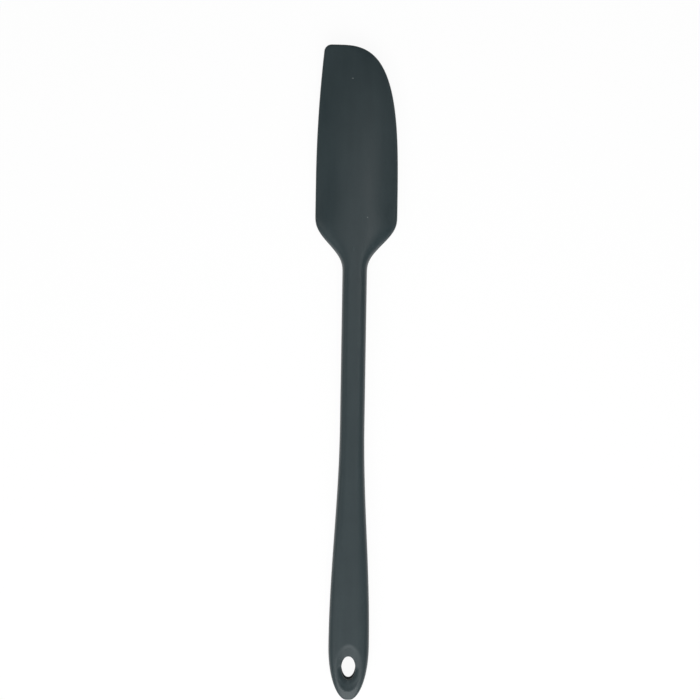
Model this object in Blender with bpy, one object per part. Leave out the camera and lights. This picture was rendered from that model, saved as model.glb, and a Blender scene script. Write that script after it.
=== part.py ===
# Slim dough scraper: a soft silicone skin moulded in one piece over a stiff nylon core.
# It lies flat. +Y runs from the hang hole to the blade's tip, +X across, +Z through the thickness.
# Lengths along the scraper are measured from the handle's end, widths from the stem's centre line.
import math

import bmesh
import bpy

MM = 0.001

# Overall
TOTAL_LENGTH = 280 * MM
GRIP_THICKNESS = 9 * MM            # handle and stem alike, so both rest on one flat strip

# Handle and stem
HANDLE_WIDTH = 17.35 * MM
HANDLE_END_LENGTH = 23.6 * MM      # the rounded end, up to the handle's widest place
HANDLE_END_POWER = 2.1             # 2 would be a half ellipse
END_SLOPE_LENGTH = 20 * MM         # over this length the two faces run down to the handle's end
END_SLOPE_POWER = 2.5
HANDLE_TAPER_LENGTH = 94 * MM
STEM_WIDTH = 10.5 * MM
GRIP_FLAT_SHARE = 0.35             # flat part of the top and bottom, of the width
GRIP_SECTION_POWER = 2.3           # rounding of the shoulders beside the flat
GRIP_SIDE_HEIGHT = 2.4 * MM        # nearly upright side wall where the mould halves meet
GRIP_SIDE_BULGE = 0.12 * MM

# Neck and blade
NECK_START = 182.3 * MM
NECK_LENGTH = 24.7 * MM
FLATTENING_START = 174 * MM        # the grip's section turns into the blade's over this length
FLATTENING_LENGTH = 50 * MM
BLADE_LEFT = 17.25 * MM
BLADE_RIGHT = 17.85 * MM
NOSE_START = 207.1 * MM            # from here the right side sweeps over to the tip
NOSE_CENTRE_X = -11.4 * MM         # where the sweep runs out, beside the left corner
NOSE_POWER = 3.44
NOSE_BLUNTING = 0.02 * MM          # the sweep ends in a straight tip this far before its own end
LEAN_START = 222 * MM              # from here the left side leans in, by this much at the tip
LEFT_LEAN = 3 * MM
TIP_CORNER_RADIUS = 2.8 * MM
BLADE_TAPER_START = 190 * MM       # from here the thickness falls to that of the tip
BLADE_TIP_THICKNESS = 2.3 * MM
BLADE_TAPER_POWER = 2.4
BLADE_SECTION_POWER = 2.0
BLADE_FLAT_SHARE = 0.06
LIP_THICKNESS = 1.7 * MM           # the rounded wiping edge

# Hang hole
HOLE_CENTRE = 14.05 * MM
HOLE_WIDTH = 5.95 * MM
HOLE_LENGTH = 10.3 * MM
HOLE_POWER = 2.1

# Dish round the hang hole, on both faces: a steeper band inside its rim, then a gentler floor
DISH_CENTRE = 14.3 * MM
DISH_WIDTH = 11 * MM
DISH_LENGTH = 20.2 * MM
DISH_BAND_WIDTH = 1.2 * MM
BAND_SLOPE_UPPER = 0.25            # on the stem's side of the hole
BAND_SLOPE_SIDE = 0.46
BAND_SLOPE_LOWER = 0.5
FLOOR_SLOPE_UPPER = 0.115
FLOOR_SLOPE_SIDE = 0.25
FLOOR_SLOPE_LOWER = 0.33
DISH_CUTTER_MARGIN = 0.5 * MM      # how far the cutting form passes the rim

# Core: how far it stays inside the skin, and its own walls
CORE_CLEARANCE = 0.3 * MM
GRIP_SKIN = 1.9 * MM
SIDE_LIP = 6.5 * MM                # soft edge beside the core's paddle
TIP_LIP = 13 * MM                  # soft edge beyond the core's paddle
CORE_HANDLE_THICKNESS = 2.8 * MM
CORE_STEM_THICKNESS = 5.2 * MM
PADDLE_THICKNESS = 2.6 * MM
PADDLE_TIP_THICKNESS = 1.3 * MM
CORE_CHAMFER = 0.4 * MM
CORE_SWELL_LENGTH = 24 * MM        # the handle's plate thickens to the stem's bar over this
EYELET_RECESS = 0.2 * MM           # the core's eyelet lies back from the hang hole's wall

# Core: windows in the handle, pockets in the stem, key holes in the paddle
RAIL_WIDTH = 1.9 * MM
RUNG_WIDTH = 4 * MM
WINDOW_PITCH = 15 * MM
WINDOW_POWER = 4.0
EYELET_WALL = 5 * MM
POCKET_PITCH = 14 * MM
POCKET_RIB = 2.6 * MM
POCKET_DEPTH = 1.5 * MM
POCKET_RAIL = 1.2 * MM
KEY_HOLE_DIAMETER = 4.6 * MM
KEY_HOLE_PITCH = 10.5 * MM
KEY_LANE_SHARE = 0.52              # lanes of key holes, of the paddle's half-width
KEY_HOLE_LEAD = 2 * MM             # first hole's centre before the neck's end
KEY_HOLE_EDGE = 8 * MM             # last hole's centre from the paddle's tip, at least
SPINE_WIDTH = 2.6 * MM
SPINE_ROOT_THICKNESS = 5 * MM
SPINE_TIP_THICKNESS = 1.2 * MM
SPINE_TIP_GAP = 12 * MM            # from the spine's end to the paddle's end

# Smoothness of the facets
END_STEPS = 9
TAPER_STEPS = 9
NECK_STEPS = 13
BLADE_STEPS = 16
SECTION_STEPS = 5
LIP_STEPS = 2
HOLE_STEPS = 32
WINDOW_STEPS = 16
KEY_HOLE_STEPS = 12
FINEST_SHARE = 0.3                 # thickness left at the very tip, of the lip's

# Places that follow from the sizes above
AXIS_X = (BLADE_LEFT - BLADE_RIGHT) / 2
MIDDLE_Z = GRIP_THICKNESS / 2
TAPER_END = HANDLE_END_LENGTH + HANDLE_TAPER_LENGTH
NECK_END = NECK_START + NECK_LENGTH

for old in list(bpy.data.objects):
    bpy.data.objects.remove(old, do_unlink=True)


def ease(share):
    # A smooth step from 0 to 1 that starts and ends flat.
    share = min(max(share, 0.0), 1.0)
    return share ** 3 * (share * (6 * share - 15) + 10)


def mix(first, second, share):
    return first + (second - first) * share


def rounded(run, power):
    # A quarter of a squared-off circle: 0 where the run is 1, and 1 where it is 0.
    return max(1 - run ** power, 0.0) ** (1 / power)


def place(across, along, up):
    # From the scraper's own measures to the model's place, centred on its box.
    return (across + AXIS_X, along - TOTAL_LENGTH / 2, up + MIDDLE_Z)


class Outline:
    # The scraper's outline, drawn in from the skin's edge in the grip, at the blade's sides and at its tip.

    def __init__(self, grip_inset=0.0, side_inset=0.0, tip_inset=0.0):
        self.grip_inset = grip_inset
        self.side_inset = side_inset
        self.start = grip_inset
        self.end = TOTAL_LENGTH - tip_inset

    def grip(self, along):
        # Half-width of the handle and stem.
        half_handle = HANDLE_WIDTH / 2 - self.grip_inset
        half_stem = STEM_WIDTH / 2 - self.grip_inset
        if along < HANDLE_END_LENGTH:
            run = (HANDLE_END_LENGTH - along) / (HANDLE_END_LENGTH - self.grip_inset)
            return half_handle * rounded(run, HANDLE_END_POWER)
        run = min((along - HANDLE_END_LENGTH) / HANDLE_TAPER_LENGTH, 1.0)
        return mix(half_stem, half_handle, 0.5 + 0.5 * math.cos(math.pi * run))

    def blade_left(self, along):
        run = max(along - LEAN_START, 0.0) / (TOTAL_LENGTH - LEAN_START)
        reach = BLADE_LEFT - self.side_inset - LEFT_LEAN * run ** 2
        beyond = along - (self.end - TIP_CORNER_RADIUS)
        if beyond > 0:
            reach -= TIP_CORNER_RADIUS - math.sqrt(max(TIP_CORNER_RADIUS ** 2 - beyond ** 2, 0.0))
        return reach

    def blade_right(self, along):
        centre = NOSE_CENTRE_X + self.side_inset
        run = (min(along, self.end - NOSE_BLUNTING) - NOSE_START) / (self.end - NOSE_START)
        return centre + (BLADE_RIGHT - self.side_inset - centre) * rounded(max(run, 0.0), NOSE_POWER)

    def edges(self, along):
        # Left and right edge at one place along the scraper.
        grip = self.grip(along)
        share = ease((along - NECK_START) / NECK_LENGTH)
        return -mix(grip, self.blade_left(along), share), mix(grip, self.blade_right(along), share)

    def stations(self):
        # Places along the scraper, closer together where the outline turns quickly.
        places = []
        for step in range(1, END_STEPS + 1):
            turn = math.pi / 2 * step / END_STEPS
            places.append(self.start + (HANDLE_END_LENGTH - self.start) * (1 - math.cos(turn)))
        for step in range(1, TAPER_STEPS + 1):
            places.append(HANDLE_END_LENGTH + HANDLE_TAPER_LENGTH * step / TAPER_STEPS)
        places += [mix(TAPER_END, NECK_START, 0.5), mix(TAPER_END, NECK_START, 0.85)]
        for step in range(NECK_STEPS + 1):
            places.append(NECK_START + NECK_LENGTH * step / NECK_STEPS)
        for step in range(1, BLADE_STEPS + 1):
            places.append(NECK_END + (self.end - NECK_END) * math.sin(math.pi / 2 * step / BLADE_STEPS))
        return places


def flattening(along):
    # 0 in the grip, 1 in the blade.
    return ease((along - FLATTENING_START) / FLATTENING_LENGTH)


def half_thickness(along):
    # On the centre line: full in the grip, then one taper to the tip.
    run = max(along - BLADE_TAPER_START, 0.0) / (TOTAL_LENGTH - BLADE_TAPER_START)
    return mix(GRIP_THICKNESS, BLADE_TIP_THICKNESS, run ** BLADE_TAPER_POWER) / 2


def end_rounding(along):
    # Share of the full thickness near the handle's end and at the blade's wiping edge.
    share = 1.0
    if along < END_SLOPE_LENGTH:
        share = rounded(1 - along / END_SLOPE_LENGTH, END_SLOPE_POWER)
    beyond = (along - TOTAL_LENGTH) / (LIP_THICKNESS / 2) + 1
    if beyond > 0:
        share = math.sqrt(1 - (1 - FINEST_SHARE ** 2) * min(beyond, 1.0) ** 2)
    return share


class Section:
    # The skin's cross-section at one place: a flat, a shoulder, then the side wall or lip, on each side.

    def __init__(self, outline, along):
        left, right = outline.edges(along)
        blade = flattening(along)
        rounding = end_rounding(along)
        self.along = along
        self.centre = (left + right) / 2
        self.half_width = (right - left) / 2
        self.crest = half_thickness(along) * rounding
        self.side = mix(GRIP_SIDE_HEIGHT, LIP_THICKNESS, blade) / 2 * rounding
        self.bulge = min(mix(GRIP_SIDE_BULGE, LIP_THICKNESS / 2, blade), self.half_width / 4)
        self.flat = self.half_width * mix(GRIP_FLAT_SHARE, BLADE_FLAT_SHARE, blade)
        self.power = mix(GRIP_SECTION_POWER, BLADE_SECTION_POWER, blade)
        self.fall = mix(1 / GRIP_SECTION_POWER, 1.0, blade)

    def shoulder_width(self):
        return self.half_width - self.bulge - self.flat

    def height(self, across):
        # The upper face's height over the middle plane.
        run = min(max(abs(across - self.centre) - self.flat, 0.0) / self.shoulder_width(), 1.0)
        return self.side + (self.crest - self.side) * (1 - run ** self.power) ** self.fall

    def ring(self):
        quarter = []
        for step in range(SECTION_STEPS + 1):
            turn = math.pi / 2 * step / SECTION_STEPS
            across = self.flat + self.shoulder_width() * math.sin(turn) ** (2 / self.power)
            quarter.append((across, self.height(self.centre + across)))
        for step in range(1, LIP_STEPS + 1):
            turn = math.pi / 2 * step / LIP_STEPS
            across = self.half_width - self.bulge + self.bulge * math.sin(turn)
            quarter.append((across, self.side * math.cos(turn)))
        half = quarter + [(across, -up) for across, up in reversed(quarter[:-1])]
        whole = half + [(-across, up) for across, up in reversed(half)]
        return [place(self.centre + across, self.along, up) for across, up in whole]


def core_half_thickness(along):
    # A flat plate in the handle, a tall bar in the stem, a thin paddle in the blade.
    swell = ease((along - TAPER_END + CORE_SWELL_LENGTH) / CORE_SWELL_LENGTH)
    grip = mix(CORE_HANDLE_THICKNESS, CORE_STEM_THICKNESS, swell)
    run = min(max(along - NECK_END, 0.0) / (TOTAL_LENGTH - TIP_LIP - NECK_END), 1.0)
    paddle = mix(PADDLE_THICKNESS, PADDLE_TIP_THICKNESS, run)
    return mix(grip, paddle, ease((along - FLATTENING_START) / (NECK_END - FLATTENING_START))) / 2


def core_section(outline, along, grow):
    # A flat section with chamfered corners.
    left, right = outline.edges(along)
    up = core_half_thickness(along) + grow
    cut = min(CORE_CHAMFER, (right - left) / 4)
    corners = [(right, cut - up), (right, up - cut), (right - cut, up), (left + cut, up),
               (left, up - cut), (left, cut - up), (left + cut, -up), (right - cut, -up)]
    return [place(across, along, height) for across, height in corners]


def loft(rings):
    # A closed mesh through the rings; each end is a pole where it has one point, or a flat cap.
    mesh = bmesh.new()
    loops = [[mesh.verts.new(point) for point in ring] for ring in rings]
    for one, two in zip(loops, loops[1:]):
        count = max(len(one), len(two))
        for index in range(count):
            after = (index + 1) % count
            lower = [one[index % len(one)], one[after % len(one)]]
            upper = [two[after % len(two)], two[index % len(two)]]
            mesh.faces.new(list(dict.fromkeys(lower + upper)))
    for loop in (loops[0], loops[-1]):
        if len(loop) > 2:
            mesh.faces.new(loop)
    return mesh


def oval(half_x, half_y, power, points):
    # A closed oval outline; the higher the power, the squarer it is.
    ring = []
    for index in range(points):
        turn = 2 * math.pi * index / points
        cos, sin = math.cos(turn), math.sin(turn)
        ring.append((math.copysign(abs(cos) ** (2 / power), cos) * half_x,
                     math.copysign(abs(sin) ** (2 / power), sin) * half_y))
    return ring


def add_prism(mesh, ring, across, along, low, high):
    # A closed upright prism on an outline, used to cut holes and pockets.
    floor = [mesh.verts.new(place(across + x, along + y, low)) for x, y in ring]
    roof = [mesh.verts.new(place(across + x, along + y, high)) for x, y in ring]
    count = len(ring)
    for index in range(count):
        after = (index + 1) % count
        mesh.faces.new((floor[index], floor[after], roof[after], roof[index]))
    mesh.faces.new(roof)
    mesh.faces.new(list(reversed(floor)))


def as_object(name, mesh, smooth_angle=0.6):
    bmesh.ops.recalc_face_normals(mesh, faces=mesh.faces[:])
    data = bpy.data.meshes.new(name)
    mesh.to_mesh(data)
    mesh.free()
    data.shade_smooth()
    data.set_sharp_from_angle(angle=smooth_angle)
    piece = bpy.data.objects.new(name, data)
    bpy.context.scene.collection.objects.link(piece)
    return piece


def as_cutter(name, mesh):
    cutter = as_object(name, mesh)
    cutter.hide_render = True
    cutter.display_type = "WIRE"
    return cutter


def boolean(piece, other, operation="DIFFERENCE"):
    modifier = piece.modifiers.new(other.name, "BOOLEAN")
    modifier.operation = operation
    modifier.solver = "EXACT"
    modifier.object = other


def make_material(name, colour, roughness):
    material = bpy.data.materials.new(name)
    material.use_nodes = True
    shader = material.node_tree.nodes["Principled BSDF"]
    shader.inputs["Base Color"].default_value = (*colour, 1.0)
    shader.inputs["Roughness"].default_value = roughness
    shader.inputs["Metallic"].default_value = 0.0
    return material


def window_cuts(mesh, outline, grow):
    # A ladder of windows through the handle's plate, between the eyelet and the stem.
    first = HOLE_CENTRE + HOLE_LENGTH / 2 + EYELET_WALL
    count = max(int((TAPER_END - first) / WINDOW_PITCH), 1)
    half_length = (WINDOW_PITCH - RUNG_WIDTH) / 2 - grow
    for index in range(count):
        along = first + WINDOW_PITCH * (index + 0.5)
        half_width = outline.grip(along + half_length) - RAIL_WIDTH - 2 * grow
        ring = oval(half_width, half_length, WINDOW_POWER, WINDOW_STEPS)
        add_prism(mesh, ring, 0, along, -GRIP_THICKNESS, GRIP_THICKNESS)


def pocket_cuts(mesh, outline, grow):
    # Pockets in the stem's two faces leave a web, two rails and a row of cross ribs.
    room = FLATTENING_START - TAPER_END
    count = max(int(room / POCKET_PITCH), 1)
    first = TAPER_END + (room - count * POCKET_PITCH) / 2
    half_length = (POCKET_PITCH - POCKET_RIB) / 2 - grow
    for index in range(count):
        along = first + POCKET_PITCH * (index + 0.5)
        half_width = outline.grip(along) - POCKET_RAIL - 2 * grow
        ring = oval(half_width, half_length, WINDOW_POWER, WINDOW_STEPS)
        floor = CORE_STEM_THICKNESS / 2 - POCKET_DEPTH + grow
        add_prism(mesh, ring, 0, along, floor, GRIP_THICKNESS)
        add_prism(mesh, ring, 0, along, -GRIP_THICKNESS, -floor)


def key_hole_cuts(mesh, outline, grow):
    # Two lanes of round holes through the paddle, where the skin's two faces join.
    first = NECK_END - KEY_HOLE_LEAD
    last = TOTAL_LENGTH - TIP_LIP - KEY_HOLE_EDGE
    count = max(int((last - first) / KEY_HOLE_PITCH) + 1, 1)
    radius = KEY_HOLE_DIAMETER / 2 - grow
    for index in range(count):
        along = first + KEY_HOLE_PITCH * index
        left, right = outline.edges(along)
        lane = KEY_LANE_SHARE * ((right - left) / 2 - grow)
        for side in (-1, 1):
            ring = oval(radius, radius, 2, KEY_HOLE_STEPS)
            across = (left + right) / 2 + side * lane
            add_prism(mesh, ring, across, along, -GRIP_THICKNESS, GRIP_THICKNESS)


def spine(grow):
    # A tapering rib on both faces carries the stem's stiffness into the paddle.
    start = NECK_START
    end = TOTAL_LENGTH - TIP_LIP - SPINE_TIP_GAP
    half_width = SPINE_WIDTH / 2 + grow
    rings = []
    for along, thickness in ((start - grow, SPINE_ROOT_THICKNESS), (end + grow, SPINE_TIP_THICKNESS)):
        up = thickness / 2 + grow
        corners = ((half_width, -up), (half_width, up), (-half_width, up), (-half_width, -up))
        rings.append([place(across, along, height) for across, height in corners])
    return loft(rings)


def make_core(name, grow, make):
    # The core without its eyelet hole, grown evenly where it is made as the cavity that it fills.
    outline = Outline(GRIP_SKIN - grow, SIDE_LIP - grow, TIP_LIP - grow)
    core = make(name, loft([core_section(outline, along, grow) for along in outline.stations()]))
    boolean(core, as_cutter(name + "_spine", spine(grow)), "UNION")
    cuts = bmesh.new()
    window_cuts(cuts, outline, grow)
    pocket_cuts(cuts, outline, grow)
    key_hole_cuts(cuts, outline, grow)
    boolean(core, as_cutter(name + "_cuts", cuts))
    return core


def make_nylon_core():
    core = make_core("nylon_core", 0.0, as_object)
    core.data.materials.append(make_material("nylon_black", (0.022, 0.024, 0.026), 0.5))
    eyelet = bmesh.new()
    ring = oval(HOLE_WIDTH / 2 + EYELET_RECESS, HOLE_LENGTH / 2 + EYELET_RECESS, HOLE_POWER, HOLE_STEPS)
    add_prism(eyelet, ring, 0, HOLE_CENTRE, -GRIP_THICKNESS, GRIP_THICKNESS)
    boolean(core, as_cutter("eyelet_cut", eyelet))
    return core


def dish_depth(inside, facing):
    # How far the dish lies below the face. Facing is 1 towards the stem, -1 towards the handle's end.
    upper = facing > 0
    band = mix(BAND_SLOPE_SIDE, BAND_SLOPE_UPPER if upper else BAND_SLOPE_LOWER, abs(facing))
    floor = mix(FLOOR_SLOPE_SIDE, FLOOR_SLOPE_UPPER if upper else FLOOR_SLOPE_LOWER, abs(facing))
    return band * min(inside, DISH_BAND_WIDTH) + floor * max(inside - DISH_BAND_WIDTH, 0.0)


def dish_mesh(side):
    # The form that cuts the dish into one face: its underside follows the face, sunk by the dish's depth.
    outline = Outline()
    rim = oval(DISH_WIDTH / 2, DISH_LENGTH / 2, 2, HOLE_STEPS)
    hole = oval(HOLE_WIDTH / 2, HOLE_LENGTH / 2, HOLE_POWER, HOLE_STEPS)
    rings = [[], [], [], [], []]
    for (x, y), (hole_x, hole_y) in zip(rim, hole):
        reach = math.hypot(x, y)
        facing = math.copysign((y / (DISH_LENGTH / 2)) ** 2, y)
        points = [(x * (1 - inside / reach), DISH_CENTRE + y * (1 - inside / reach), inside)
                  for inside in (-DISH_CUTTER_MARGIN, DISH_BAND_WIDTH)]
        for share in (1.0, 0.7):
            across, along = hole_x * share, HOLE_CENTRE + hole_y * share
            points.append((across, along, reach - math.hypot(across, along - DISH_CENTRE)))
        rings[0].append(place(*points[0][:2], side * GRIP_THICKNESS))
        for ring, (across, along, inside) in zip(rings[1:], points):
            up = Section(outline, along).height(across) - dish_depth(inside, facing)
            ring.append(place(across, along, side * up))
    return loft(rings)


def make_silicone_body():
    outline = Outline()
    rings = [[place(0, 0, 0)]] + [Section(outline, along).ring() for along in outline.stations()]
    body = as_object("silicone_body", loft(rings))
    body.data.materials.append(make_material("silicone_dark_green", (0.043, 0.057, 0.061), 0.62))
    boolean(body, as_cutter("dish_cut_top", dish_mesh(1)))
    boolean(body, as_cutter("dish_cut_back", dish_mesh(-1)))
    boolean(body, make_core("core_cavity", CORE_CLEARANCE, as_cutter))
    hole = bmesh.new()
    ring = oval(HOLE_WIDTH / 2, HOLE_LENGTH / 2, HOLE_POWER, HOLE_STEPS)
    add_prism(hole, ring, 0, HOLE_CENTRE, -GRIP_THICKNESS, GRIP_THICKNESS)
    boolean(body, as_cutter("hang_hole_cut", hole))
    return body


make_silicone_body()
make_nylon_core()
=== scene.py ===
import math

import bmesh
import bpy
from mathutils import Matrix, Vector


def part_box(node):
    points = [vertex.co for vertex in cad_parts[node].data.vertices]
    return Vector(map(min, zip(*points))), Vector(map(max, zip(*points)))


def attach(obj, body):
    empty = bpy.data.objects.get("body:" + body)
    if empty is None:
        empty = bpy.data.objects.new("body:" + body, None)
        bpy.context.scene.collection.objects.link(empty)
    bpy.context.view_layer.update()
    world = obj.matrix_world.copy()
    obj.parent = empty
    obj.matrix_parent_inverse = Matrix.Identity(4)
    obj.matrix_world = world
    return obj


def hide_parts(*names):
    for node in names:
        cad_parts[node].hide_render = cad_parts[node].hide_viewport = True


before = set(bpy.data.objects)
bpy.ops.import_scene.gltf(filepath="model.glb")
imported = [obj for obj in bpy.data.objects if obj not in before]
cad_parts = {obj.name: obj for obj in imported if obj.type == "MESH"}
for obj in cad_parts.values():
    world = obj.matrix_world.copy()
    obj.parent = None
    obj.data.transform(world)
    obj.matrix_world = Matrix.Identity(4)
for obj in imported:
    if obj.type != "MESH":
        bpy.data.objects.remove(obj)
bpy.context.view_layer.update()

# Lengths are in millimetres unless a note says otherwise, and the overall ones come from the silicone body's
# box in model.glb
mm = 0.001
bodyLow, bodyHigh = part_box("silicone_body")
fullLength = (bodyHigh.y - bodyLow.y) / mm
gripThickness = (bodyHigh.z - bodyLow.z) / mm
bladeWidth = (bodyHigh.x - bodyLow.x) / mm

sharpAngle = 0.7     # radians between faces, above which an edge is drawn sharp
mergeWithin = 1e-7     # metres, within which two points become one
tiny = 1e-6     # keeps a division from failing on a centre or at an end


def mix(first, second, share):
    return first + (second - first) * share


def ease(share):
    # from nought to one, starting and ending gently
    share = min(max(share, 0.0), 1.0)
    return share ** 3 * (share * (6 * share - 15) + 10)


def softStep(reach, blend):
    # nought before the edge and the plain distance after it, rounded between
    run = reach / blend
    return blend * (max(run, 0.0) + math.log1p(math.exp(-abs(run))))


# The moulded skin: along is measured from the handle's end, across from the stem's centre line
skin = {
    "handleWidth": 17.35, "handleEnd": 23.6, "handleEndPower": 2.1, "handleTaper": 94, "stemWidth": 10.5,
    "endSlope": 22, "endSlopePower": 2.8, "endRadius": 0.5,     # the end slopes down to its side wall
    "gripFlat": 0.35, "gripPower": 2.3, "sideHeight": 2.4, "sideBulge": 0.12,
    "neckStart": 182.3, "neckLength": 24.7, "thinStart": 174, "thinLength": 50,
    "bladeLeft": 17.25, "leanStart": 222, "leftLean": 3, "cornerRadius": 2.8,     # nearly straight left edge
    "noseStart": 207.1, "noseCentre": -11.4, "nosePower": 3.44,     # right edge, sweeping over to the tip
    "taperStart": 190, "taperPower": 2.4, "tipThickness": 2.3, "tipClosing": 0.995,
    "bladeFlat": 0.06, "bladePower": 2.0, "lip": 1.7,
    "partingRidge": 0.06, "partingHalfHeight": 0.16,
    "edgeShare": 0.25,     # the most of the half width that the edge's bulge or the ridge may take
    "markRoom": 0.04,     # taken off the thickness, so that the mould marks stay inside the real size
    "flatSteps": 8, "crownSteps": 26, "lipSteps": 8,
}

bladeRight = bladeWidth - skin["bladeLeft"]
axisX = (skin["bladeLeft"] - bladeRight) / 2
middleZ = gripThickness / 2


def place(across, along, up):
    # from a place on the scraper, with up measured from its mid plane, to the frame
    return ((across + axisX) * mm, (along - fullLength / 2) * mm, (up + middleZ) * mm)


def gripHalf(along):
    # half the width of handle and stem
    halfHandle = skin["handleWidth"] / 2
    if along < skin["handleEnd"]:
        run = 1 - along / skin["handleEnd"]
        return halfHandle * max(1 - run ** skin["handleEndPower"], 0.0) ** (1 / skin["handleEndPower"])
    run = min((along - skin["handleEnd"]) / skin["handleTaper"], 1.0)
    return mix(skin["stemWidth"] / 2, halfHandle, 0.5 + 0.5 * math.cos(math.pi * run))


def bladeEdges(along):
    # how far the blade reaches to the left and to the right
    lean = max(along - skin["leanStart"], 0.0) / (fullLength - skin["leanStart"])
    left = skin["bladeLeft"] - skin["leftLean"] * lean ** 2
    beyond = along - (fullLength - skin["cornerRadius"])
    if beyond > 0:
        left -= skin["cornerRadius"] - math.sqrt(max(skin["cornerRadius"] ** 2 - beyond ** 2, 0.0))
    run = min(max(along - skin["noseStart"], 0.0) / (fullLength - skin["noseStart"]), 1.0)
    sweep = (1 - run ** skin["nosePower"]) ** (1 / skin["nosePower"])
    return left, skin["noseCentre"] + (bladeRight - skin["noseCentre"]) * sweep


def outlineAt(along):
    # where the left and the right edge lie, which pass from the stem's to the blade's at the neck
    grip = gripHalf(along)
    left, right = bladeEdges(along)
    share = ease((along - skin["neckStart"]) / skin["neckLength"])
    return -mix(grip, left, share), mix(grip, right, share)


def crestAt(along):
    # half the thickness on the centre line, which tapers from the neck to the tip
    run = min(max(along - skin["taperStart"], 0.0) / (fullLength - skin["taperStart"]), 1.0)
    return mix(gripThickness - skin["markRoom"], skin["tipThickness"], run ** skin["taperPower"]) / 2


def roundingAt(along):
    # the handle's end closes in a small round, and the tip's lip nearly closes
    beyondEnd = 1 - along / skin["endRadius"]
    beyondTip = min((along - fullLength) / (skin["lip"] / 2) + 1, skin["tipClosing"])
    return math.sqrt(1 - max(beyondEnd, beyondTip, 0.0) ** 2)


def sectionAt(along):
    # the sizes of one cross-section, which pass from the grip's to the blade's
    left, right = outlineAt(along)
    half = (right - left) / 2
    thin = ease((along - skin["thinStart"]) / skin["thinLength"])
    wall = mix(skin["sideHeight"], skin["lip"], thin) / 2
    slope = max(1 - along / skin["endSlope"], 0.0) ** skin["endSlopePower"]
    rounding = roundingAt(along)
    return {
        "centre": (left + right) / 2, "half": half,
        "crest": mix(crestAt(along), wall, slope) * rounding, "side": wall * rounding,     # half heights
        "flat": half * mix(skin["gripFlat"], skin["bladeFlat"], thin),
        "bulge": min(mix(skin["sideBulge"], skin["lip"] / 2, thin), half * skin["edgeShare"]),
        "power": mix(skin["gripPower"], skin["bladePower"], thin),     # the crown's curve, across
        "fall": mix(1 / skin["gripPower"], 1.0, thin),     # and downwards
    }


def faceAt(across, along):
    # the upper face's height over the mid plane, without the dish
    section = sectionAt(along)
    crown = section["half"] - section["bulge"] - section["flat"]
    share = min(max(abs(across - section["centre"]) - section["flat"], 0.0) / crown, 1.0)
    drop = (1 - share ** section["power"]) ** section["fall"]
    return mix(section["side"], section["crest"], drop)


# The oval hang hole, and the dish round it on both faces
hangHole = {
    "centre": 14.05, "width": 5.95, "length": 10.3, "power": 2.1, "edgeRadius": 0.35,
    "coreSlotHeight": 3.0, "coreSlotDepth": 0.6,     # the recess in its wall, where the core's near-black band shows as painted shade
    "backLean": 0.55, "backNarrowing": 0.14,     # its lower half closes in towards the back
    "dishCentre": 14.3, "dishWidth": 11, "dishLength": 20.2, "rimBlend": 0.22, "bandWidth": 1.2,
    "bandSlopes": (0.25, 0.46, 0.50), "floorSlopes": (0.115, 0.25, 0.33),     # upper end, sides, lower end
    "dishReach": 1.6, "leastHeight": 1.2,     # nothing is sunk past this many dish radii or below this height
    "funnelSlope": 0.5, "funnelWidth": 1.5, "funnelInset": 0.3, "funnelBlend": 0.15,
    "funnelTop": 2.5, "funnelFull": 1.5,     # starts this far over the hole's centre, in full so far under it
    "funnelBottomShare": 0.2,
}


def slopeTowards(slopes, facing):
    # between the slope at the sides and the one at the dish's upper or lower end
    upper, side, lower = slopes
    return mix(side, upper if facing > 0 else lower, abs(facing))


def funnelDepth(across, along):
    # the hole's lower half opens in a shallow funnel that fades out upwards and at the very bottom
    width, power = hangHole["width"] / 2, hangHole["power"]
    lengthwise = along - hangHole["centre"]
    shares = (abs(across) / width) ** power + (abs(lengthwise) / (hangHole["length"] / 2)) ** power
    # the distance outside the oval, measured on the line to its centre, and negative inside it
    outside = math.hypot(across, lengthwise) * (1 - shares ** (-1 / power)) if shares > tiny else -width
    lowness = ease((hangHole["funnelTop"] - lengthwise) / (hangHole["funnelTop"] + hangHole["funnelFull"]))
    inside = min(hangHole["funnelWidth"] - outside, hangHole["funnelWidth"] + hangHole["funnelInset"])
    depth = softStep(inside, hangHole["funnelBlend"])
    fading = mix(hangHole["funnelBottomShare"], 1.0, min(abs(across) / width, 1.0))
    return hangHole["funnelSlope"] * depth * lowness * fading


def dishedHeight(across, along, up):
    # sinks a point of the face into the dish: a steeper band inside its rim, then a gentler floor
    lengthwise = (along - hangHole["dishCentre"]) / (hangHole["dishLength"] / 2)
    radius = math.hypot(across / (hangHole["dishWidth"] / 2), lengthwise)
    if radius > hangHole["dishReach"]:
        return up
    rimReach = math.hypot(across, along - hangHole["dishCentre"]) / max(radius, tiny)
    inside = rimReach * (1 - radius)
    endwise = lengthwise / max(radius, tiny)
    facing = endwise * abs(endwise)
    band = slopeTowards(hangHole["bandSlopes"], facing)
    floor = slopeTowards(hangHole["floorSlopes"], facing)
    intoBand = softStep(inside, hangHole["rimBlend"])
    intoFloor = softStep(inside - hangHole["bandWidth"], hangHole["rimBlend"])
    sunk = up - band * intoBand + (band - floor) * intoFloor - funnelDepth(across, along)
    return max(sunk, min(up, hangHole["leastHeight"]))     # the faces stay apart where the hole is cut


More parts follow.
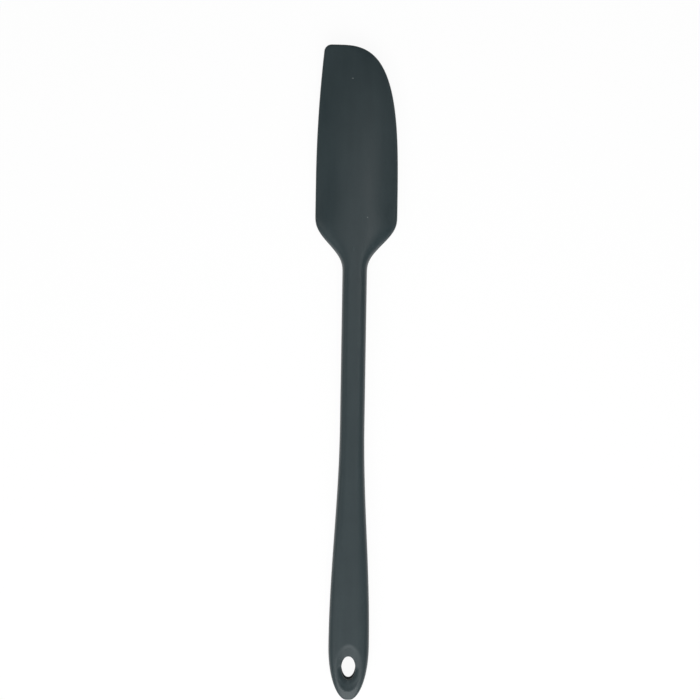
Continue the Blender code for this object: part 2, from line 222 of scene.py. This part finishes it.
def skinSection(along):
    # one closed ring of points: flat, crown, then side wall or lip, with the parting ridge at mid height
    section = sectionAt(along)
    centre, half, crest, side = section["centre"], section["half"], section["crest"], section["side"]
    flat, bulge = section["flat"], section["bulge"]
    quarter = [(flat * step / skin["flatSteps"], crest) for step in range(skin["flatSteps"])]
    for step in range(skin["crownSteps"] + 1):
        turn = math.pi / 2 * step / skin["crownSteps"]
        reach = flat + (half - bulge - flat) * math.sin(turn) ** (2 / section["power"])
        quarter.append((reach, side + (crest - side) * max(math.cos(turn), 0.0) ** (2 * section["fall"])))
    for step in range(1, skin["lipSteps"] + 1):
        turn = math.pi / 2 * step / skin["lipSteps"]
        quarter.append((half - bulge + bulge * math.sin(turn), side * math.cos(turn)))
    ridged = []
    for reach, up in quarter:
        ridge = 1 - math.exp(-(up / skin["partingHalfHeight"]) ** 2)
        reach -= min(skin["partingRidge"], half * skin["edgeShare"]) * ridge * reach / max(half, tiny)
        ridged.append((reach, dishedHeight(reach + centre, along, up)))
    # the underside and the left half mirror this quarter
    quarterDown = [(reach, -up) for reach, up in reversed(ridged[:-1])]
    halfRing = ridged + quarterDown[:-1]
    ring = halfRing + [(0.0, -ridged[0][1])] + [(-reach, up) for reach, up in reversed(halfRing[1:])]
    return [place(centre + across, along, up) for across, up in ring]


# The stretches that the cross-sections stand in, where no other size gives them, and the steps in each
stretches = {
    "endLength": 2.0, "dishEnd": 26.0, "pastNeck": 2, "tipLength": 14, "edgeLength": 3, "lastLength": 0.8,
    "endSteps": 16, "dishSteps": 84, "handleSteps": 60, "stemSteps": 18, "neckSteps": 56,
    "bladeSteps": 44, "tipSteps": 28, "edgeSteps": 16, "lastSteps": 14,
}


def skinStations():
    # where the cross-sections stand: closer together at the ends, the dish, the neck and the tip
    start, count = stretches["endLength"], stretches["endSteps"]
    stations = [start * (step / count) ** 2 for step in range(count)]
    for end, steps in (
        (stretches["dishEnd"], stretches["dishSteps"]),
        (skin["handleEnd"] + skin["handleTaper"], stretches["handleSteps"]),
        (skin["thinStart"], stretches["stemSteps"]),
        (skin["neckStart"] + skin["neckLength"] + stretches["pastNeck"], stretches["neckSteps"]),
        (fullLength - stretches["tipLength"], stretches["bladeSteps"]),
        (fullLength - stretches["edgeLength"], stretches["tipSteps"]),
        (fullLength - stretches["lastLength"], stretches["edgeSteps"]),
    ):
        stations += [start + (end - start) * step / steps for step in range(steps)]
        start = end
    for step in range(stretches["lastSteps"] + 1):
        turn = math.pi / 2 * step / stretches["lastSteps"]
        stations.append(start + stretches["lastLength"] * math.sin(turn))
    return stations


def shade(data):
    data.shade_smooth()
    data.set_sharp_from_angle(angle=sharpAngle)


def keepMesh(name, mesh):
    data = bpy.data.meshes.new(name)
    mesh.to_mesh(data)
    mesh.free()
    shade(data)
    piece = bpy.data.objects.new(name, data)
    bpy.context.scene.collection.objects.link(piece)
    return piece


def rollUp(name, rings):
    # a flat sheet is rolled up: each of its rows becomes one ring of points, and both ends are closed
    pointsRound, steps = len(rings[0]), len(rings) - 1
    sheet = bmesh.new()
    bmesh.ops.create_grid(sheet, x_segments=pointsRound, y_segments=steps, size=1.0)
    for vert in sheet.verts:
        column = round((vert.co.x + 1) / 2 * pointsRound) % pointsRound
        row = round((vert.co.y + 1) / 2 * steps)
        vert.co = rings[row][column]
    bmesh.ops.remove_doubles(sheet, verts=sheet.verts[:], dist=mergeWithin)
    bmesh.ops.holes_fill(sheet, edges=[edge for edge in sheet.edges if edge.is_boundary], sides=0)
    bmesh.ops.recalc_face_normals(sheet, faces=sheet.faces[:])
    return keepMesh(name, sheet)


def makeSkin():
    return rollUp("silicone_skin", [skinSection(along) for along in skinStations()])


# The bar that cuts the hole, which stands clear of the face and opens in a round at the hole's edge
holeCutter = {
    "height": 4.0, "topGrowth": 0.72,     # the bar's top over the face, and its growth in edge radii
    "edgeTurn": 72, "edgeLift": 0.05, "edgeSteps": 6,     # the edge's round, in degrees, and its lift
    "heightReadAt": 0.5,     # where the face's height is read, in edge radii outside the oval
    "pointsRound": 96,
}


def ovalPoint(turn, grow):
    # a point of the hole's oval, grown outwards
    cos, sin = math.cos(turn), math.sin(turn)
    across = math.copysign(abs(cos) ** (2 / hangHole["power"]), cos) * (hangHole["width"] / 2 + grow)
    along = math.copysign(abs(sin) ** (2 / hangHole["power"]), sin) * (hangHole["length"] / 2 + grow)
    return across, hangHole["centre"] + along


def cutterRing(height, grow, onFace, behind):
    # one ring of the bar, whose lower half closes in behind the mid plane
    ring = []
    for point in range(holeCutter["pointsRound"]):
        turn = 2 * math.pi * point / holeCutter["pointsRound"]
        across, along = ovalPoint(turn, grow)
        up = height
        if onFace:
            edge = ovalPoint(turn, hangHole["edgeRadius"] * holeCutter["heightReadAt"])
            up += dishedHeight(*edge, faceAt(*edge))
        if behind:
            lowness = max(-math.sin(turn), 0.0)
            along += hangHole["backLean"] * lowness ** 2
            across *= 1 - hangHole["backNarrowing"] * lowness
        ring.append(place(across, along, -up if behind else up))
    return ring


def makeHoleCutter():
    # an upright oval bar that flares into the dish and bulges at mid height, where the core shows
    radius, slot, steps = hangHole["edgeRadius"], hangHole["coreSlotHeight"] / 2, holeCutter["edgeSteps"]
    # each level is a height, the oval's growth there, and whether the height is over the face
    levels = [(holeCutter["height"], radius * holeCutter["topGrowth"], True)]
    for step in range(steps + 1):
        turn = math.radians(holeCutter["edgeTurn"]) * (1 - step / steps)
        height = holeCutter["edgeLift"] - radius * (1 - math.sin(turn))
        levels.append((height, radius * (1 - math.cos(turn)), True))
    levels += [(slot, 0.0, False), (slot, hangHole["coreSlotDepth"], False)]
    rings = [cutterRing(*level, behind=False) for level in levels]
    rings += [cutterRing(*level, behind=True) for level in reversed(levels)]
    return rollUp("hole_cutter", rings)


def cutAway(piece, cutter):
    modifier = piece.modifiers.new("cut", "BOOLEAN")
    modifier.operation = "DIFFERENCE"
    modifier.solver = "EXACT"
    modifier.object = cutter
    piece.data = bpy.data.meshes.new_from_object(piece.evaluated_get(bpy.context.evaluated_depsgraph_get()))
    piece.modifiers.clear()
    shade(piece.data)
    bpy.data.objects.remove(cutter, do_unlink=True)


# Small moulding marks seen on the upper face: (name, finish, across, along, half width, half length, height)
mouldMarks = [
    ("gate_mark", "pressed", -0.62, 192.4, 0.5, 1.2, 0.05),
    ("pin_mark_low", "torn", 5.02, 205.9, 0.28, 0.26, 0.05),
    ("pin_mark_tip", "torn", -2.12, 265.2, 0.46, 0.28, 0.05),
]
markShape = {"sunk": 0.6, "points": 20, "rows": 10}     # sunk by this share of its height


def makeMark(name, across, along, halfWidth, halfLength, height):
    mark = bmesh.new()
    bmesh.ops.create_uvsphere(mark, u_segments=markShape["points"], v_segments=markShape["rows"], radius=1.0)
    bmesh.ops.scale(mark, vec=(halfWidth * mm, halfLength * mm, height * mm), verts=mark.verts[:])
    up = faceAt(across, along) - markShape["sunk"] * height
    bmesh.ops.translate(mark, vec=place(across, along, up), verts=mark.verts[:])
    return keepMesh(name, mark)


def startMaterial(name):
    material = bpy.data.materials.new(name)
    material.use_nodes = True
    nodes, links = material.node_tree.nodes, material.node_tree.links
    return material, nodes, links, nodes["Principled BSDF"]


def addNoise(nodes, links, source, scale, detail, roughness, stretch=None):
    if stretch:
        mapping = nodes.new("ShaderNodeMapping")
        mapping.inputs["Scale"].default_value = stretch
        links.new(source, mapping.inputs["Vector"])
        source = mapping.outputs["Vector"]
    noise = nodes.new("ShaderNodeTexNoise")
    noise.inputs["Scale"].default_value = scale
    noise.inputs["Detail"].default_value = detail
    noise.inputs["Roughness"].default_value = roughness
    links.new(source, noise.inputs["Vector"])
    return noise.outputs["Fac"]


def addRange(nodes, links, source, target, origin=(0.3, 0.7)):
    # nearly all values of a noise texture lie in the range that it starts from unless told otherwise
    node = nodes.new("ShaderNodeMapRange")
    node.inputs["From Min"].default_value, node.inputs["From Max"].default_value = origin
    node.inputs["To Min"].default_value, node.inputs["To Max"].default_value = target
    links.new(source, node.inputs["Value"])
    return node.outputs["Result"]


def addMath(nodes, links, operation, first, second):
    node = nodes.new("ShaderNodeMath")
    node.operation = operation
    for socket, value in zip(node.inputs, (first, second)):
        if isinstance(value, (int, float)):
            socket.default_value = value
        else:
            links.new(value, socket)
    return node.outputs["Value"]


def addColourMix(nodes, links, share, first, second):
    node = nodes.new("ShaderNodeMix")
    node.data_type = "RGBA"
    links.new(share, node.inputs["Factor"])
    for socket, value in ((node.inputs[6], first), (node.inputs[7], second)):     # A and B of the colours
        if isinstance(value, tuple):
            socket.default_value = (*value, 1.0)
        else:
            links.new(value, socket)
    return node.outputs[2]


def addBump(nodes, links, height, strength, distance, normal=None):
    bump = nodes.new("ShaderNodeBump")
    bump.inputs["Strength"].default_value = strength
    bump.inputs["Distance"].default_value = distance
    links.new(height, bump.inputs["Height"])
    if normal:
        links.new(normal, bump.inputs["Normal"])
    return bump.outputs["Normal"]


# Matte silicone: cloudy colour, faint flow lines along the mould, fine blasted grain and a little lint.
# Each noise is a scale, a detail and a roughness, and each depth is in metres
siliconeFinish = {
    "dark": (0.0205, 0.0345, 0.0390), "light": (0.0265, 0.0425, 0.0474), "rough": (0.39, 0.49), "ior": 1.41,
    "sheen": 0.06, "sheenRough": 0.5, "toneRange": (0.36, 0.64), "cloud": (70, 4.0, 0.55),
    "flow": (260, 2.0, 0.5), "flowStretch": (1.0, 0.08, 1.0), "speck": (1500, 3.0, 0.6), "speckShare": 0.25,
    "peel": (420, 2.0, 0.5), "peelStrength": 0.35, "peelDepth": 0.00003,
    "grain": (4200, 3.0, 0.6), "grainStrength": 0.6, "grainDepth": 0.000012,
    "lint": (0.07, 0.08, 0.08), "lintScale": 90, "lintSize": 0.012,
}


def siliconeMaterial():
    look = siliconeFinish
    material, nodes, links, shader = startMaterial("moulded_silicone")
    where = nodes.new("ShaderNodeTexCoord").outputs["Object"]
    cloud = addNoise(nodes, links, where, *look["cloud"])
    flow = addNoise(nodes, links, where, *look["flow"], look["flowStretch"])
    speck = addNoise(nodes, links, where, *look["speck"])
    grain = addNoise(nodes, links, where, *look["grain"])
    peel = addNoise(nodes, links, where, *look["peel"])
    tone = addMath(nodes, links, "MULTIPLY", addMath(nodes, links, "ADD", cloud, flow), 0.5)
    tone = addMath(nodes, links, "ADD", addMath(nodes, links, "MULTIPLY", tone, 1 - look["speckShare"]),
                   addMath(nodes, links, "MULTIPLY", speck, look["speckShare"]))
    shades = addRange(nodes, links, tone, (0.0, 1.0), look["toneRange"])
    colour = addColourMix(nodes, links, shades, look["dark"], look["light"])
    lint = nodes.new("ShaderNodeTexVoronoi")
    lint.inputs["Scale"].default_value = look["lintScale"]
    links.new(where, lint.inputs["Vector"])
    spot = addMath(nodes, links, "LESS_THAN", lint.outputs["Distance"], look["lintSize"])
    links.new(addColourMix(nodes, links, spot, colour, look["lint"]), shader.inputs["Base Color"])
    links.new(addRange(nodes, links, tone, look["rough"]), shader.inputs["Roughness"])
    shader.inputs["IOR"].default_value = look["ior"]
    shader.inputs["Sheen Weight"].default_value = look["sheen"]
    shader.inputs["Sheen Roughness"].default_value = look["sheenRough"]
    normal = addBump(nodes, links, peel, look["peelStrength"], look["peelDepth"])
    normal = addBump(nodes, links, grain, look["grainStrength"], look["grainDepth"], normal)
    links.new(normal, shader.inputs["Normal"])
    return material


# At the mould marks the silicone is torn, which leaves it much lighter, or pressed, which barely shows
markFinishes = {
    "torn": {"dark": (0.100, 0.118, 0.120), "light": (0.165, 0.182, 0.184)},
    "pressed": {"dark": (0.028, 0.044, 0.049), "light": (0.036, 0.053, 0.058)},
}
markTexture = {"rough": (0.38, 0.5), "mottle": (2600, 3.0, 0.6), "strength": 0.5, "depth": 0.00001}


def markMaterial(finish):
    look = {**markTexture, **markFinishes[finish]}
    material, nodes, links, shader = startMaterial(finish + "_silicone")
    where = nodes.new("ShaderNodeTexCoord").outputs["Object"]
    mottle = addNoise(nodes, links, where, *look["mottle"])
    links.new(addColourMix(nodes, links, mottle, look["dark"], look["light"]), shader.inputs["Base Color"])
    links.new(addRange(nodes, links, mottle, look["rough"]), shader.inputs["Roughness"])
    shader.inputs["IOR"].default_value = siliconeFinish["ior"]
    links.new(addBump(nodes, links, mottle, look["strength"], look["depth"]), shader.inputs["Normal"])
    return material


# Glass-filled nylon, near black with short glass fibres lying mostly along the flow; its darkness is partly
# painted shade for the core's band in the hang hole's wall
nylonAndPaintedShade = {
    "dark": (0.010, 0.012, 0.013), "light": (0.020, 0.023, 0.024), "rough": (0.50, 0.66), "ior": 1.53,
    "mottle": (500, 4.0, 0.6), "fibre": (1600, 2.0, 0.5), "fibreStretch": (1.0, 0.14, 1.0),
    "fibreColour": (0.045, 0.050, 0.052), "fibreShare": 0.5, "fibreRange": (0.60, 0.74),
    "fibreStrength": 0.4, "fibreDepth": 0.00002,
}


def paintedShadeNylonMaterial():
    look = nylonAndPaintedShade
    material, nodes, links, shader = startMaterial("glass_filled_nylon_and_painted_shade")
    where = nodes.new("ShaderNodeTexCoord").outputs["Object"]
    mottle = addNoise(nodes, links, where, *look["mottle"])
    fibre = addNoise(nodes, links, where, *look["fibre"], look["fibreStretch"])
    colour = addColourMix(nodes, links, mottle, look["dark"], look["light"])
    strands = addRange(nodes, links, fibre, (0.0, look["fibreShare"]), look["fibreRange"])
    links.new(addColourMix(nodes, links, strands, colour, look["fibreColour"]), shader.inputs["Base Color"])
    links.new(addRange(nodes, links, mottle, look["rough"]), shader.inputs["Roughness"])
    shader.inputs["IOR"].default_value = look["ior"]
    normal = addBump(nodes, links, fibre, look["fibreStrength"], look["fibreDepth"])
    links.new(normal, shader.inputs["Normal"])
    return material


# The scraper lies on a plain white floor under soft lamps, seen from straight above
studio = {
    "cameraHeight": 590, "frameWidth": 299.3, "frameAlong": 149.5, "frameAcross": -1.47,
    "roll": 0.0163, "sensor": 36.0,     # the roll in radians
    "nearClip": 0.01, "floorSize": 2.4,     # metres
    "floorColour": 0.94, "floorRough": 0.9, "floorShare": 0.08, "floorGlow": 1.01, "ambient": 0.05,
}

# name, x, y, z, width and height in metres, watts
lamps = [
    ("handle_high_lamp", 0.1, -1.2, 1.2, 1.6, 0.8, 8.5),
    ("handle_side_lamp", 0.0, -0.9, 0.5, 1.2, 0.4, 5.5),
    ("handle_near_lamp", 0.0, -0.35, 0.35, 0.2, 0.2, 0.19),
    ("left_lamp", -1.4, 0.0, 0.9, 0.4, 0.4, 2.1),
    ("left_handle_lamp", -1.0, -0.6, 1.0, 0.5, 0.5, 1.55),
    ("right_lamp", 1.4, 0.4, 0.7, 0.5, 0.5, 1.55),
    ("top_right_lamp", 0.12, 0.1, 0.45, 0.15, 0.15, 0.37),
    ("top_left_lamp", -0.12, 0.1, 0.5, 0.15, 0.15, 0.18),
    ("left_near_lamp", -0.25, -0.35, 0.4, 0.2, 0.2, 0.35),
    ("right_near_lamp", 0.3, -0.3, 0.3, 0.2, 0.2, 0.15),
    ("high_lamp", 0.0, -0.2, 0.7, 0.3, 0.3, 0.3),
]


def addFloor():
    floor = bmesh.new()
    bmesh.ops.create_grid(floor, x_segments=1, y_segments=1, size=studio["floorSize"] / 2)
    piece = keepMesh("floor", floor)
    material, nodes, links, shader = startMaterial("white_floor")
    shader.inputs["Base Color"].default_value = (studio["floorColour"],) * 3 + (1.0,)
    shader.inputs["Roughness"].default_value = studio["floorRough"]
    shader.inputs["Specular IOR Level"].default_value = 0.0
    glow = nodes.new("ShaderNodeEmission")     # a white floor where it is seen, which keeps a soft shadow
    glow.inputs["Strength"].default_value = studio["floorGlow"]
    path = nodes.new("ShaderNodeLightPath")
    seen = addMath(nodes, links, "MAXIMUM", path.outputs["Is Camera Ray"], path.outputs["Is Glossy Ray"])
    seen = addMath(nodes, links, "MAXIMUM", seen, path.outputs["Is Transmission Ray"])
    share = addMath(nodes, links, "MULTIPLY", seen, 1 - studio["floorShare"])
    blend = nodes.new("ShaderNodeMixShader")
    links.new(share, blend.inputs["Fac"])
    links.new(shader.outputs["BSDF"], blend.inputs[1])
    links.new(glow.outputs["Emission"], blend.inputs[2])
    links.new(blend.outputs["Shader"], nodes["Material Output"].inputs["Surface"])
    piece.data.materials.append(material)


def addWorld():
    # white to the camera, and only a little light on the scraper
    world = bpy.data.worlds.new("white_room")
    world.use_nodes = True
    nodes, links = world.node_tree.nodes, world.node_tree.links
    room = nodes["Background"].inputs
    path = nodes.new("ShaderNodeLightPath").outputs
    seen = addMath(nodes, links, "MAXIMUM", path["Is Camera Ray"], path["Is Transmission Ray"])
    links.new(addRange(nodes, links, seen, (studio["ambient"], 1.0), (0.0, 1.0)), room["Strength"])
    room["Color"].default_value = (1.0, 1.0, 1.0, 1.0)
    bpy.context.scene.world = world


def addLamps():
    for name, x, y, z, width, height, watts in lamps:
        light = bpy.data.lights.new(name, "AREA")
        light.shape, light.size, light.size_y, light.energy = "RECTANGLE", width, height, watts
        lamp = bpy.data.objects.new(name, light)
        lamp.location = (x, y, z)
        lamp.rotation_euler = lamp.location.to_track_quat("Z", "Y").to_euler()     # turned to the scraper
        bpy.context.scene.collection.objects.link(lamp)


def addCamera():
    lens = bpy.data.cameras.new("camera")
    lens.sensor_width = studio["sensor"]
    lens.lens = studio["sensor"] * studio["cameraHeight"] / studio["frameWidth"]
    lens.clip_start = studio["nearClip"]
    camera = bpy.data.objects.new("camera", lens)
    camera.location = place(studio["frameAcross"], studio["frameAlong"], studio["cameraHeight"])
    camera.rotation_euler = (0.0, 0.0, studio["roll"])
    bpy.context.scene.collection.objects.link(camera)
    bpy.context.scene.camera = camera


body = makeSkin()
cutAway(body, makeHoleCutter())
body.data.materials.clear()
body.data.materials.append(siliconeMaterial())
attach(body, "root")
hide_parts("silicone_body")
print("skin:", len(body.data.polygons), "faces")

markMaterials = {finish: markMaterial(finish) for finish in markFinishes}
for name, finish, *values in mouldMarks:
    mark = makeMark(name, *values)
    mark.data.materials.append(markMaterials[finish])
    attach(mark, "root")
print("mould marks:", len(mouldMarks))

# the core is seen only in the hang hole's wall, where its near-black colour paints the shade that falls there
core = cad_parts["nylon_core"]
core.data.materials.clear()
core.data.materials.append(paintedShadeNylonMaterial())
print("core finished in glass-filled nylon")

addFloor()
addWorld()
addLamps()
addCamera()
bpy.context.scene.view_settings.view_transform = "Standard"
print("studio ready")
